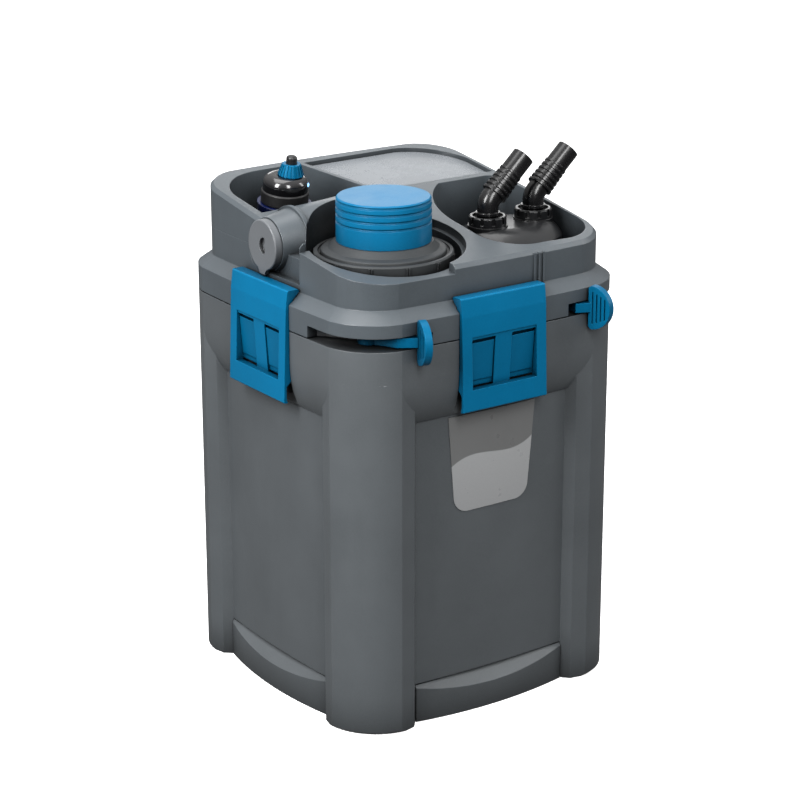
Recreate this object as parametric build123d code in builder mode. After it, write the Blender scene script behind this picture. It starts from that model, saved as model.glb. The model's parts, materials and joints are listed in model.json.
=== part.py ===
"""External canister water filter with pump head, heater and lift-out prefilter.

Frame: millimetres, +Z up, origin at the centre of the footprint on the surface the
feet stand on. The front, which carries the label, faces -Y. The four sides share one
plan, so most features are drawn for the front and turned by quarter turns.
"""
import os
from math import cos, radians, sin

from build123d import *

os.makedirs("parts", exist_ok=True)

# ---------------------------------------------------------------- driving dimensions
# A bowed square is (middle, end, reach, corner): how far each side bows out at its
# middle, how far out its ends are, how far along they lie, and the corner arc's middle.
FLANGE_PLAN = (114.6, 112.6, 78.6, 101.0)
WALL_PLAN = (105.0, 103.5, 75.0, 94.0)
COLUMN_EDGE = (67.0, 110.0)
PANEL_END = (62.0, 104.0)
PANEL_MIDDLE = 106.2
INSIDE_WIDTH = 201.0
INSIDE_CORNER = 68.0

FOOT_LIFT = 0.4
FLOOR_Z = 12.0
SEAM_Z = 268.2
HEAD_Z = 269.0
FLANGE_TOP_Z = 286.0
WALL_FOOT_Z = 293.0
DECK_Z = 296.0
COVER_SPLIT_Z = 311.5

# The top of the head is a plane that rises towards the back.
TOP_Z = 330.0
TOP_SLOPE_DEG = 8.0
RING_STEP = 5.5
RIM_BEVEL = 2.4

PREFILTER_AT = (-47.5, -47.0)
PREFILTER_WELL_R = 51.3
PREFILTER_SHAFT_R = 42.3
HEATER_AT = (-60.0, 54.5)
PORTS_Y = -40.5
PORTS_X = {"inlet": 42.6, "outlet": 81.5}
PUMP_Y = 6.5
PUMP_Z = 316.5
LEVER_HUB = (88.0, 88.0)
RUNNING_GAP = 0.06

SIDES = {"front": 0, "right": 1, "back": 2, "left": 3}


# ---------------------------------------------------------------- shared plan helpers
def quarter(point, turns):
    """Turns a plan point about the centre by quarter turns."""
    x, y = point
    for _ in range(turns % 4):
        x, y = -y, x
    return (x, y)


def bowed_square(middle, end, reach, corner):
    """Four bowed sides joined by corner arcs, in the open line builder."""
    for turns in range(4):
        stop = quarter((reach, -end), turns)
        ThreePointArc(quarter((-reach, -end), turns), quarter((0, -middle), turns), stop)
        ThreePointArc(stop, quarter((corner, -corner), turns), quarter((end, -reach), turns))


def columned_square():
    """Four recessed panels between four corner columns, in the open line builder."""
    crease_out, crease_in, corner = FLANGE_PLAN[1], FLANGE_PLAN[2], FLANGE_PLAN[3]
    for turns in range(4):
        points = [
            (-PANEL_END[0], -PANEL_END[1]),
            (0, -PANEL_MIDDLE),
            (PANEL_END[0], -PANEL_END[1]),
            (COLUMN_EDGE[0], -COLUMN_EDGE[1]),
            (crease_in, -crease_out),
            (corner, -corner),
            (crease_out, -crease_in),
            (COLUMN_EDGE[1], -COLUMN_EDGE[0]),
            (PANEL_END[1], -PANEL_END[0]),
        ]
        p = [quarter(point, turns) for point in points]
        ThreePointArc(p[0], p[1], p[2])
        Polyline(p[2], p[3], p[4])
        ThreePointArc(p[4], p[5], p[6])
        Polyline(p[6], p[7], p[8])


def face_plane(turns, outward):
    """Plane on one side, looking at it from outside: x to the right, y up."""
    out = quarter((0, -1), turns)
    along = quarter((1, 0), turns)
    return Plane(origin=(out[0] * outward, out[1] * outward, 0), x_dir=(*along, 0), z_dir=(*out, 0))


def section_plane(turns):
    """Upright plane across one side: x outward, y up."""
    out = quarter((0, -1), turns)
    normal = quarter((-1, 0), turns)
    return Plane(origin=(0, 0, 0), x_dir=(*out, 0), z_dir=(*normal, 0))


def top_plane(drop=0.0):
    """The sloping top of the head, lowered by drop."""
    slope = radians(TOP_SLOPE_DEG)
    return Plane(origin=(0, 0, TOP_Z - drop), x_dir=(1, 0, 0), z_dir=(0, -sin(slope), cos(slope)))


def finish(builder, label):
    """Labels a finished piece and writes its file."""
    builder.part.label = label
    export_step(builder.part, f"parts/{label}.step")


# ---------------------------------------------------------------- canister
COLLAR_LEVELS = {
    215.0: (106.6, 104.6, 74.0, 94.4),
    222.0: (110.6, 108.4, 76.0, 97.6),
    232.0: (113.4, 111.4, 77.8, 100.0),
    246.0: FLANGE_PLAN,
}
CLIP_HALF = 34.3
POCKET_HALF = CLIP_HALF + 0.5
POCKET_OUT = 110.0
HINGE_POCKET_OUT = 107.6
HINGE_OUT = 113.3
HINGE_Z = 226.0
EAR_R = 3.0
EAR_INNER, EAR_OUTER = 20.0, 27.0
PIN_R = 1.5
SKIRT_HALF = 61.8
SKIRT_Z = 27.0
UNDERSIDE_Z = 5.6
FOOT_BEVEL = 1.2
GASKET_OUTER = (207.0, 71.0)
GASKET_INNER = (202.6, 68.8)
GASKET_FOOT_Z = 266.2

with BuildPart() as canister_shell:
    with BuildSketch(Plane.XY.offset(FOOT_LIFT)):
        with BuildLine():
            columned_square()
        make_face()
    extrude(amount=SEAM_Z - FOOT_LIFT)
    for level, outline in COLLAR_LEVELS.items():
        with BuildSketch(Plane.XY.offset(level)):
            with BuildLine():
                bowed_square(*outline)
            make_face()
    loft()
    with BuildSketch(Plane.XY.offset(max(COLLAR_LEVELS))):
        with BuildLine():
            bowed_square(*FLANGE_PLAN)
        make_face()
    extrude(amount=SEAM_Z - max(COLLAR_LEVELS))
    # Inside of the vessel, the groove for the head gasket and the hollow of the columns.
    with BuildSketch(Plane.XY.offset(FLOOR_Z)):
        RectangleRounded(INSIDE_WIDTH, INSIDE_WIDTH, INSIDE_CORNER)
    extrude(amount=SEAM_Z, mode=Mode.SUBTRACT)
    with BuildSketch(Plane.XY.offset(GASKET_FOOT_Z)):
        RectangleRounded(GASKET_OUTER[0], GASKET_OUTER[0], GASKET_OUTER[1])
        RectangleRounded(GASKET_INNER[0], GASKET_INNER[0], GASKET_INNER[1], mode=Mode.SUBTRACT)
    extrude(amount=SEAM_Z, mode=Mode.SUBTRACT)
    with BuildSketch(Plane.XY):
        with GridLocations(2 * LEVER_HUB[0], 2 * LEVER_HUB[1], 2, 2):
            Circle(6.5)
    extrude(amount=250, mode=Mode.SUBTRACT)
    with BuildSketch(Plane.XY):
        with GridLocations(2 * LEVER_HUB[0], 2 * LEVER_HUB[1], 2, 2):
            Circle(8.2)
    extrude(amount=4, mode=Mode.SUBTRACT)
    # Underside recess and the steps that hold the plinth.
    with BuildSketch(Plane.XY):
        RectangleRounded(196, 196, 66)
    extrude(amount=UNDERSIDE_Z, mode=Mode.SUBTRACT)
    for turns in SIDES.values():
        with BuildSketch(face_plane(turns, 90)):
            with Locations((0, UNDERSIDE_Z / 2)):
                Rectangle(2 * SKIRT_HALF + 0.4, UNDERSIDE_Z)
        extrude(amount=30, mode=Mode.SUBTRACT)
        with BuildSketch(face_plane(turns, 102.6)):
            with Locations((0, (SKIRT_Z + 1) / 2)):
                Rectangle(2 * SKIRT_HALF + 0.4, SKIRT_Z + 1)
        extrude(amount=20, mode=Mode.SUBTRACT)
        # Pocket for the clip, deeper round its hinge.
        with BuildSketch(face_plane(turns, POCKET_OUT)):
            with Locations((0, 244)):
                Rectangle(2 * POCKET_HALF, 60)
        extrude(amount=20, mode=Mode.SUBTRACT)
        with BuildSketch(face_plane(turns, HINGE_POCKET_OUT)):
            with Locations((0, 224)):
                Rectangle(2 * POCKET_HALF, 20)
        extrude(amount=20, mode=Mode.SUBTRACT)
        # Two hinge ears stand in the pocket.
        for side in (-1, 1):
            ear_middle = side * (EAR_INNER + EAR_OUTER) / 2
            with BuildSketch(section_plane(turns).offset(-ear_middle)):
                with Locations((HINGE_OUT, HINGE_Z)):
                    Circle(EAR_R)
                with Locations(((HINGE_OUT + HINGE_POCKET_OUT) / 2 - 0.5, HINGE_Z)):
                    Rectangle(HINGE_OUT - HINGE_POCKET_OUT + 1, 2 * EAR_R)
                with Locations((HINGE_OUT, HINGE_Z)):
                    Circle(PIN_R + 0.03, mode=Mode.SUBTRACT)
            extrude(amount=(EAR_OUTER - EAR_INNER) / 2, both=True)
    foot_edges = canister_shell.faces().filter_by(Axis.Z).group_by(Axis.Z)[0].edges()
    chamfer(foot_edges.filter_by(GeomType.CIRCLE).filter_by(lambda e: e.radius > 30), FOOT_BEVEL)
finish(canister_shell, "canister_shell")

# ---------------------------------------------------------------- plinth and feet
SKIRT_MIDDLE = 111.5
SKIRT_END = 105.0
SKIRT_BEVEL_Z = 17.0
FOOT_R = 8.0
FOOT_H = 3.8
CENTRE_PAD_R = 10.0

with BuildPart() as base_plinth:
    with BuildSketch(Plane.XY.offset(1.4)):
        RectangleRounded(195, 195, 65.5)
        RectangleRounded(120, 120, 30, mode=Mode.SUBTRACT)
    extrude(amount=3.8)
    for turns in SIDES.values():
        with BuildSketch(Plane.XY.offset(FOOT_LIFT)):
            with BuildLine():
                start, middle, stop = (
                    quarter(point, turns)
                    for point in (
                        (-SKIRT_HALF, -SKIRT_END),
                        (0, -SKIRT_MIDDLE),
                        (SKIRT_HALF, -SKIRT_END),
                    )
                )
                ThreePointArc(start, middle, stop)
                Polyline(
                    stop,
                    quarter((SKIRT_HALF, -102.9), turns),
                    quarter((-SKIRT_HALF, -102.9), turns),
                    start,
                )
            make_face()
        extrude(amount=SKIRT_Z - FOOT_LIFT)
        # The skirt leans back above its middle.
        with BuildSketch(section_plane(turns)):
            Polygon(
                (SKIRT_MIDDLE + 1, SKIRT_BEVEL_Z),
                (SKIRT_MIDDLE + 1, SKIRT_Z + 1),
                (103.2, SKIRT_Z + 1),
                (104.4, SKIRT_Z - 1),
                align=None,
            )
        extrude(amount=SKIRT_HALF + 1, both=True, mode=Mode.SUBTRACT)
        # Tab that joins the skirt to the plate under the floor.
        with BuildSketch(face_plane(turns, 95)):
            with Locations((0, 3.3)):
                Rectangle(2 * SKIRT_HALF - 20, 3.8)
        extrude(amount=8.5)
finish(base_plinth, "base_plinth")

with BuildPart() as rubber_feet:
    with BuildSketch(Plane.XY):
        with GridLocations(2 * LEVER_HUB[0], 2 * LEVER_HUB[1], 2, 2):
            Circle(FOOT_R)
    extrude(amount=FOOT_H)
    with BuildSketch(Plane.XY):
        Circle(CENTRE_PAD_R)
    extrude(amount=UNDERSIDE_Z)
    chamfer(rubber_feet.faces().filter_by(Axis.Z).group_by(Axis.Z)[0].edges(), 0.8)
finish(rubber_feet, "rubber_feet")

# ---------------------------------------------------------------- filter trays
TRAY_WIDTH = 197.0
TRAY_CORNER = 66.0
TRAY_WALL = 2.0
TRAY_FLOOR = 3.0
TRAY_H = 80.0
TRAY_PITCH = 81.0
TRAY_FOOT_Z = 16.0
SHAFT_CUT_R = 45.0
HEATER_CUT_R = 16.0
FOAM_GAP = 1.5
TRAYS = ("lower", "middle", "upper")


def tray_plan(shrink):
    """Tray outline less the prefilter shaft and the heater passage, in the open sketch."""
    RectangleRounded(TRAY_WIDTH - 2 * shrink, TRAY_WIDTH - 2 * shrink, TRAY_CORNER - shrink)
    with Locations(PREFILTER_AT):
        Circle(SHAFT_CUT_R + shrink, mode=Mode.SUBTRACT)
    with Locations(HEATER_AT):
        Circle(HEATER_CUT_R + shrink, mode=Mode.SUBTRACT)


for step, level_name in enumerate(TRAYS):
    foot_z = TRAY_FOOT_Z + step * TRAY_PITCH
    with BuildPart() as filter_tray:
        with BuildSketch(Plane.XY.offset(foot_z)):
            tray_plan(0)
        extrude(amount=TRAY_H)
        with BuildSketch(Plane.XY.offset(foot_z + TRAY_FLOOR)):
            tray_plan(TRAY_WALL)
        extrude(amount=TRAY_H, mode=Mode.SUBTRACT)
        # Water rises through slots in the floor.
        with BuildSketch(Plane.XY.offset(foot_z)):
            with GridLocations(15, 30, 12, 6):
                SlotOverall(24, 7, rotation=90)
            RectangleRounded(TRAY_WIDTH - 24, TRAY_WIDTH - 24, 55, mode=Mode.INTERSECT)
            with Locations(PREFILTER_AT):
                Circle(SHAFT_CUT_R + 6, mode=Mode.SUBTRACT)
            with Locations(HEATER_AT):
                Circle(HEATER_CUT_R + 6, mode=Mode.SUBTRACT)
        extrude(amount=TRAY_FLOOR, mode=Mode.SUBTRACT)
    finish(filter_tray, f"filter_tray_{level_name}")

    with BuildPart() as filter_foam:
        with BuildSketch(Plane.XY.offset(foot_z + TRAY_FLOOR + 0.5)):
            tray_plan(TRAY_WALL + FOAM_GAP)
        extrude(amount=TRAY_H - TRAY_FLOOR - 4)
    finish(filter_foam, f"filter_foam_{level_name}")

with BuildPart() as head_gasket:
    with BuildSketch(Plane.XY.offset(GASKET_FOOT_Z)):
        RectangleRounded(GASKET_OUTER[0] - 0.2, GASKET_OUTER[0] - 0.2, GASKET_OUTER[1] - 0.1)
        loose_span = GASKET_INNER[0] + 0.2
        RectangleRounded(loose_span, loose_span, GASKET_INNER[1] + 0.1, mode=Mode.SUBTRACT)
    extrude(amount=HEAD_Z - GASKET_FOOT_Z)
finish(head_gasket, "head_gasket")

# ---------------------------------------------------------------- pump head casting
HEATER_WELL_FLOOR_Z = 306.0
HOSE_WELL_FLOOR_Z = 300.0
RING_WELL_FLOOR_Z = 303.0
LEVER_SLOT_TOP_Z = 277.2
LEVER_HUB_R = 7.0
DIAL_R = 17.1
BARREL_FACE_R = 18.0
BARREL_R = 21.5
BARREL_RING_R = 23.3
BARREL_RING_X = (-86.0, -83.0)
BARREL_FACE_X = -103.0
BARREL_END_X = -88.0
SADDLE_END_X = -30.0
LOW_WALL_Z = 312.5
WALL_RECESS_Z = 297.8
WALL_RECESS_X = -99.5
SADDLE_END_R = 25.0
CHAMBER_R = 13.5
ROTOR_BORE_R = 7.6
CHAMBER_END_X = -92.0
ROTOR_END_X = -74.0
FRONT_RIBS_X = (33.0, 36.8, 40.6)
RIB_TOP_Z = 314.0
MOTOR_AT = (50, 66)
MOTOR_ROOM = (54, 46)
MOTOR_ROOM_Z = 299.0
MOTOR_ROOM_H = 22.0
SCREWS_AT = ((-10, 76), (88, 40), (10, 84), (88, 66))
PARTING_DEPTH = 2.2
PARTING_H = 1.1
SCREW_R = 1.6
SCREW_HEAD_R = 3.4
SCREW_HEAD_H = 2.2
SCREW_LENGTH = 22.0


def heater_well_plan():
    """Outline of the heater well in the open sketch."""
    with BuildLine() as outline:
        ThreePointArc((-97, 58), (-85, 83), (-58, 94.5))
        Polyline((-58, 94.5), (-22, 95.5), (-4, 40), (-26, 30), (-97, 24), (-97, 58))
    make_face(outline.edges())


def hose_well_plan():
    """Outline of the hose well in the open sketch."""
    with BuildLine() as outline:
        ThreePointArc((15, -62), (24, -86), (48, -94))
        Line((48, -94), (66, -95))
        ThreePointArc((66, -95), (90.3, -86.5), (99.5, -64))
        Line((99.5, -64), (99.5, 14))
        ThreePointArc((99.5, 14), (95, 22), (86, 24.5))
        Line((86, 24.5), (48, 24.5))
        ThreePointArc((48, 24.5), (24, -4), (15, -40))
        Line((15, -40), (15, -62))
    make_face(outline.edges())


def lid_plan(shrink):
    """Outline of the light lid at the back right, in the open sketch."""
    s = shrink
    with BuildLine() as outline:
        Polyline((-18 + s, 97 - s), (-1 + s, 42 + s), (10 + s, 32 + s), (99.5 - s, 31 + s), (99 - s, 58))
        ThreePointArc((99 - s, 58), (86 - 0.8 * s, 85 - 0.8 * s), (58, 98 - s))
        Line((58, 98 - s), (-18 + s, 97 - s))
    make_face(outline.edges())


def cover_region_plan():
    """Plan of the part of the head under the separate cover, in the open sketch."""
    Polygon((-130, -14), (-62, -14), (-14, 27.5), (130, 27.5), (130, 130), (-130, 130), align=None)


def pump_axis(x):
    """Plane square to the pump shaft at x, looking towards +X."""
    return Plane(origin=(x, PUMP_Y, PUMP_Z), x_dir=(0, 1, 0), z_dir=(1, 0, 0))


with BuildPart() as saddle:
    with BuildSketch(pump_axis(BARREL_FACE_X)):
        Circle(BARREL_FACE_R)
    with BuildSketch(pump_axis(BARREL_RING_X[0])):
        Circle(BARREL_R)
    loft()
    with BuildSketch(pump_axis(BARREL_RING_X[0])):
        Circle(BARREL_RING_R)
    extrude(amount=BARREL_RING_X[1] - BARREL_RING_X[0])
    with BuildSketch(pump_axis(BARREL_RING_X[1])):
        Circle(BARREL_R)
    with BuildSketch(pump_axis(SADDLE_END_X)):
        Circle(SADDLE_END_R)
    loft()
    fillet(saddle.edges().sort_by(Axis.X)[-1], 12)

with BuildPart() as head_blank:
    with BuildSketch(Plane.XY.offset(HEAD_Z)):
        with BuildLine():
            bowed_square(*FLANGE_PLAN)
        make_face()
    extrude(amount=FLANGE_TOP_Z - HEAD_Z)
    for level, outline in {FLANGE_TOP_Z: FLANGE_PLAN, WALL_FOOT_Z: WALL_PLAN}.items():
        with BuildSketch(Plane.XY.offset(level)):
            with BuildLine():
                bowed_square(*outline)
            make_face()
    loft()
    with BuildSketch(Plane.XY.offset(WALL_FOOT_Z)):
        with BuildLine():
            bowed_square(*WALL_PLAN)
        make_face()
    extrude(amount=80)
    with BuildSketch(top_plane()):
        Rectangle(300, 300)
    extrude(amount=80, mode=Mode.SUBTRACT)
    chamfer(head_blank.faces().sort_by(Axis.Z)[-1].edges(), RIM_BEVEL)
    # Beside the pump barrel the wall is lower, and steps in below the barrel.
    with BuildSketch(Plane.XY.offset(LOW_WALL_Z)):
        Polygon((-120, -33.5), (-86, -33.5), (-58, 2.5), (-58, 12), (-120, 12), align=None)
    extrude(amount=80, mode=Mode.SUBTRACT)
    with BuildSketch(Plane.XY.offset(WALL_RECESS_Z)):
        Polygon((-120, -33), (WALL_RECESS_X, -33), (WALL_RECESS_X, 8), (-120, 8), align=None)
    extrude(amount=LOW_WALL_Z - WALL_RECESS_Z, mode=Mode.SUBTRACT)
    add(saddle.part)
    with BuildSketch(pump_axis(-140)):
        Circle(BARREL_FACE_R)
    extrude(amount=140 + BARREL_FACE_X, mode=Mode.SUBTRACT)
    # Wells for the prefilter, the heater and the hose adapter.
    with BuildSketch(Plane.XY.offset(RING_WELL_FLOOR_Z)):
        with Locations(PREFILTER_AT):
            Circle(PREFILTER_WELL_R)
    extrude(amount=80, mode=Mode.SUBTRACT)
    with BuildSketch(Plane.XY.offset(HEATER_WELL_FLOOR_Z)):
        heater_well_plan()
    extrude(amount=80, mode=Mode.SUBTRACT)
    with BuildSketch(Plane.XY.offset(HOSE_WELL_FLOOR_Z)):
        hose_well_plan()
    extrude(amount=80, mode=Mode.SUBTRACT)
    # The rim round the front of the prefilter well lies a step lower than the top.
    with BuildSketch(top_plane(RING_STEP)):
        with Locations(PREFILTER_AT):
            Circle(PREFILTER_WELL_R + 3)
        rear_corners = ((-31.5, -30), (130, -30), (130, 130), (-130, 130), (-130, -30))
        Polygon(*rear_corners, align=None, mode=Mode.SUBTRACT)
        Polygon((-31.5, -34), (-31.5, -130), (-130, -130), (-130, -34), align=None)
    extrude(amount=40, mode=Mode.SUBTRACT)
    # Seat of the light lid.
    with BuildSketch(top_plane(5.5)):
        lid_plan(0)
    extrude(amount=40, mode=Mode.SUBTRACT)
    # Three upright ribs on the front wall beside the clip.
    with BuildSketch(Plane.XY.offset(WALL_FOOT_Z)):
        for rib_x in FRONT_RIBS_X:
            with Locations((rib_x, -WALL_PLAN[0] + 0.4)):
                Rectangle(1.6, 1.8)
    extrude(amount=RIB_TOP_Z - WALL_FOOT_Z)
    # Bores of the pump: chamber for the impeller, then a narrower one for the rotor.
    with BuildSketch(pump_axis(BARREL_FACE_X - 1)):
        Circle(CHAMBER_R)
    extrude(amount=CHAMBER_END_X - BARREL_FACE_X + 1, mode=Mode.SUBTRACT)
    with BuildSketch(pump_axis(CHAMBER_END_X)):
        Circle(ROTOR_BORE_R)
    extrude(amount=ROTOR_END_X - CHAMBER_END_X, mode=Mode.SUBTRACT)

with BuildPart() as cover_region:
    with BuildSketch(Plane.XY.offset(COVER_SPLIT_Z)):
        cover_region_plan()
    extrude(amount=80)
    # The cover reaches down round the pump barrel.
    with BuildSketch(pump_axis(-130)):
        Circle(BARREL_R + 2.5)
    extrude(amount=130 + BARREL_END_X)
    # A parting groove runs round the outside above the split.
    with BuildSketch(Plane.XY.offset(COVER_SPLIT_Z - 0.2)):
        Rectangle(300, 300)
        with BuildLine():
            bowed_square(*(distance - PARTING_DEPTH for distance in WALL_PLAN))
        make_face(mode=Mode.SUBTRACT)
    extrude(amount=PARTING_H, mode=Mode.SUBTRACT)

with BuildPart() as motor_room:
    with BuildSketch(Plane.XY.offset(MOTOR_ROOM_Z)):
        with Locations(MOTOR_AT):
            RectangleRounded(MOTOR_ROOM[0], MOTOR_ROOM[1], 7)
    extrude(amount=MOTOR_ROOM_H)

with BuildPart() as head_cover:
    add(head_blank.part)
    add(cover_region.part, mode=Mode.INTERSECT)
    add(motor_room.part, mode=Mode.SUBTRACT)
    with BuildSketch(Plane.XY.offset(COVER_SPLIT_Z - 1)):
        with Locations(*SCREWS_AT):
            Circle(SCREW_R)
    extrude(amount=DECK_Z + SCREW_LENGTH - COVER_SPLIT_Z + 1, mode=Mode.SUBTRACT)

with BuildPart() as head_casting:
    add(head_blank.part)
    add(cover_region.part, mode=Mode.SUBTRACT)
    add(motor_room.part, mode=Mode.SUBTRACT)
    # Hollow under the deck, with solid corners round the lever hubs.
    with BuildSketch(Plane.XY.offset(HEAD_Z)):
        RectangleRounded(INSIDE_WIDTH, INSIDE_WIDTH, INSIDE_CORNER)
    extrude(amount=DECK_Z - HEAD_Z, mode=Mode.SUBTRACT)
    with BuildSketch(Plane.XY.offset(HEAD_Z)):
        with Locations(PREFILTER_AT):
            Circle(PREFILTER_SHAFT_R)
        with Locations(HEATER_AT):
            Circle(13.3)
        for port_x in PORTS_X.values():
            with Locations((port_x, PORTS_Y)):
                Circle(9.6)
    extrude(amount=60, mode=Mode.SUBTRACT)
    with BuildSketch(Plane.XY.offset(HEAD_Z)):
        with Locations(*SCREWS_AT):
            Circle(SCREW_HEAD_R + 0.3)
    extrude(amount=DECK_Z - HEAD_Z, mode=Mode.SUBTRACT)
    with BuildSketch(Plane.XY.offset(HEAD_Z)):
        with Locations(*SCREWS_AT):
            Circle(SCREW_R)
    extrude(amount=DECK_Z - HEAD_Z + SCREW_LENGTH, mode=Mode.SUBTRACT)
    # Slots at the seam for the two release levers.
    for side in (-1, 1):
        with BuildSketch(Plane.XY.offset(HEAD_Z)):
            Polygon(
                (side * 81, -86),
                (side * 60, -102),
                (side * 55.5, -106),
                (side * 55.5, -122),
                (side * 122, -122),
                (side * 122, -55.5),
                (side * 106, -55.5),
                (side * 102, -60),
                (side * 86, -81),
                align=None,
            )
            with Locations((side * LEVER_HUB[0], -LEVER_HUB[1])):
                Circle(LEVER_HUB_R + 1)
        extrude(amount=LEVER_SLOT_TOP_Z - HEAD_Z, mode=Mode.SUBTRACT)
        with BuildSketch(Plane.XY.offset(LEVER_SLOT_TOP_Z)):
            with Locations((side * LEVER_HUB[0], -LEVER_HUB[1])):
                Circle(PIN_R + 0.03)
        extrude(amount=6, mode=Mode.SUBTRACT)
    # Pockets for the four clips.
    for turns in SIDES.values():
        with BuildSketch(face_plane(turns, POCKET_OUT)):
            with Locations((0, 280)):
                Rectangle(2 * POCKET_HALF, 30)
        extrude(amount=20, mode=Mode.SUBTRACT)
for piece, label in ((head_casting, "head_casting"), (head_cover, "head_cover")):
    finish(piece, label)

with BuildPart() as back_lid:
    with BuildSketch(top_plane(5.5)):
        lid_plan(0.4)
    extrude(amount=2.6)
    fillet(back_lid.faces().sort_by(Axis.Z)[-1].edges(), 0.5)
finish(back_lid, "back_lid")

# ---------------------------------------------------------------- pump parts
CAP_DISC_H = 5.4
TAB_REACH = 19.6
TAB_H = 3.0
COIN_SLOT_WIDTH = 5.2
WHEEL_R = 10.4
ROTOR_R = 6.8
SHAFT_R = 1.5
with BuildPart() as impeller_cap:
    with BuildSketch(pump_axis(BARREL_FACE_X - 5.6)):
        Circle(DIAL_R)
    extrude(amount=CAP_DISC_H)
    with BuildSketch(pump_axis(BARREL_FACE_X - 5.6)):
        Polygon((-6, -10), (6, -10), (6, -14), (3, -TAB_REACH), (-3, -TAB_REACH), (-6, -14), align=None)
    extrude(amount=TAB_H)
    chamfer(impeller_cap.faces().sort_by(Axis.X)[0].edges().filter_by(GeomType.CIRCLE), 0.6)
    with BuildSketch(pump_axis(BARREL_FACE_X - 0.3)):
        Circle(CHAMBER_R - 0.4)
        Circle(CHAMBER_R - 3, mode=Mode.SUBTRACT)
    extrude(amount=3.5)
    # Kidney-shaped coin slot.
    with BuildSketch(pump_axis(BARREL_FACE_X - 5.7)):
        with BuildLine() as coin_slot:
            ThreePointArc((-1.4, 3.0), (0.4, 0), (-1.4, -3.0))
        trace(coin_slot.edges(), COIN_SLOT_WIDTH)
        with Locations((-1.4, 3.0), (-1.4, -3.0)):
            Circle(COIN_SLOT_WIDTH / 2)
    extrude(amount=2.6, mode=Mode.SUBTRACT)
finish(impeller_cap, "impeller_cap")

with BuildPart() as impeller_cap_seal:
    with BuildSketch(pump_axis(BARREL_FACE_X + 3.4)):
        Circle(CHAMBER_R - 0.2)
        Circle(CHAMBER_R - 2.4, mode=Mode.SUBTRACT)
    extrude(amount=1.8)
finish(impeller_cap_seal, "impeller_cap_seal")

with BuildPart() as pump_shaft:
    with BuildSketch(pump_axis(BARREL_FACE_X + 3)):
        Circle(SHAFT_R)
    extrude(amount=ROTOR_END_X - BARREL_FACE_X - 3)
finish(pump_shaft, "pump_shaft")

with BuildPart() as shaft_bushes:
    for bush_x, bush_length in ((BARREL_FACE_X + 3, 2.0), (ROTOR_END_X - 2, 2.0)):
        with BuildSketch(pump_axis(bush_x)):
            Circle(3.4)
            Circle(SHAFT_R, mode=Mode.SUBTRACT)
        extrude(amount=bush_length)
finish(shaft_bushes, "shaft_bushes")

with BuildPart() as impeller_rotor:
    with BuildSketch(pump_axis(CHAMBER_END_X + 0.6)):
        Circle(ROTOR_R)
        Circle(SHAFT_R + RUNNING_GAP, mode=Mode.SUBTRACT)
    extrude(amount=ROTOR_END_X - CHAMBER_END_X - 3.4)
finish(impeller_rotor, "impeller_rotor")

BLADES = 6
with BuildPart() as impeller_wheel:
    with BuildSketch(pump_axis(CHAMBER_END_X - 2.2)):
        Circle(WHEEL_R)
    extrude(amount=1.6)
    with BuildSketch(pump_axis(CHAMBER_END_X - 5.2)):
        Circle(4)
        with PolarLocations(WHEEL_R / 2 + 0.8, BLADES):
            Rectangle(WHEEL_R - 2.2, 1.4)
    extrude(amount=3.0)
    # Hub that carries the magnet.
    with BuildSketch(pump_axis(CHAMBER_END_X - 0.6)):
        Circle(4)
    extrude(amount=1.2)
    with BuildSketch(pump_axis(CHAMBER_END_X - 6)):
        Circle(SHAFT_R + RUNNING_GAP)
    extrude(amount=8, mode=Mode.SUBTRACT)
finish(impeller_wheel, "impeller_wheel")

# The sealed coil block sits in the dry room under the light lid.
with BuildPart() as motor_coil:
    with BuildSketch(Plane.XY.offset(MOTOR_ROOM_Z + 0.2)):
        with Locations(MOTOR_AT):
            RectangleRounded(MOTOR_ROOM[0] - 2, MOTOR_ROOM[1] - 2, 6)
    extrude(amount=MOTOR_ROOM_H - 2)
finish(motor_coil, "motor_coil")

# ---------------------------------------------------------------- heater
HEATER_TILT_AT = (HEATER_AT[0], HEATER_AT[1], 331.0)
KNOB_SHIFT = (2.6, -1.8)
SOCKET_R = 18.8
DOME_R = 15.6
DOME_H = 10.7
DOME_EDGE_R = 6.5
TIP_R = 3.8
TIP_H = 14.0


def heater_plane(rise, turn_deg=0):
    """Plane square to the tilted heater head, a rise above its band, turned about its axis."""
    slope, turn = radians(TOP_SLOPE_DEG), radians(turn_deg)
    x, y, z = HEATER_TILT_AT
    return Plane(
        origin=(x, y - sin(slope) * rise, z + cos(slope) * rise),
        x_dir=(cos(turn), sin(turn) * cos(slope), sin(turn) * sin(slope)),
        z_dir=(0, -sin(slope), cos(slope)),
    )


heater_axis = Axis(HEATER_TILT_AT, (0, -sin(radians(TOP_SLOPE_DEG)), cos(radians(TOP_SLOPE_DEG))))

with BuildPart() as heater_tube:
    with BuildSketch(Plane.XY.offset(70)):
        with Locations(HEATER_AT):
            Circle(11)
    extrude(amount=HEATER_WELL_FLOOR_Z - 70)
    fillet(heater_tube.edges().sort_by(Axis.Z)[0], 9)
finish(heater_tube, "heater_tube")

with BuildPart() as heater_socket:
    with BuildSketch(Plane.XY.offset(HEATER_WELL_FLOOR_Z)):
        with Locations(HEATER_AT):
            Circle(SOCKET_R)
    extrude(amount=40)
    with BuildSketch(heater_plane(-1.5)):
        Rectangle(80, 80)
    extrude(amount=60, mode=Mode.SUBTRACT)
finish(heater_socket, "heater_socket")

with BuildPart() as heater_band:
    with BuildSketch(heater_plane(-1.5)):
        Circle(16.4)
    extrude(amount=9.0)
    chamfer(heater_band.edges().filter_by(GeomType.CIRCLE), 0.8)
finish(heater_band, "heater_band")

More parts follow.
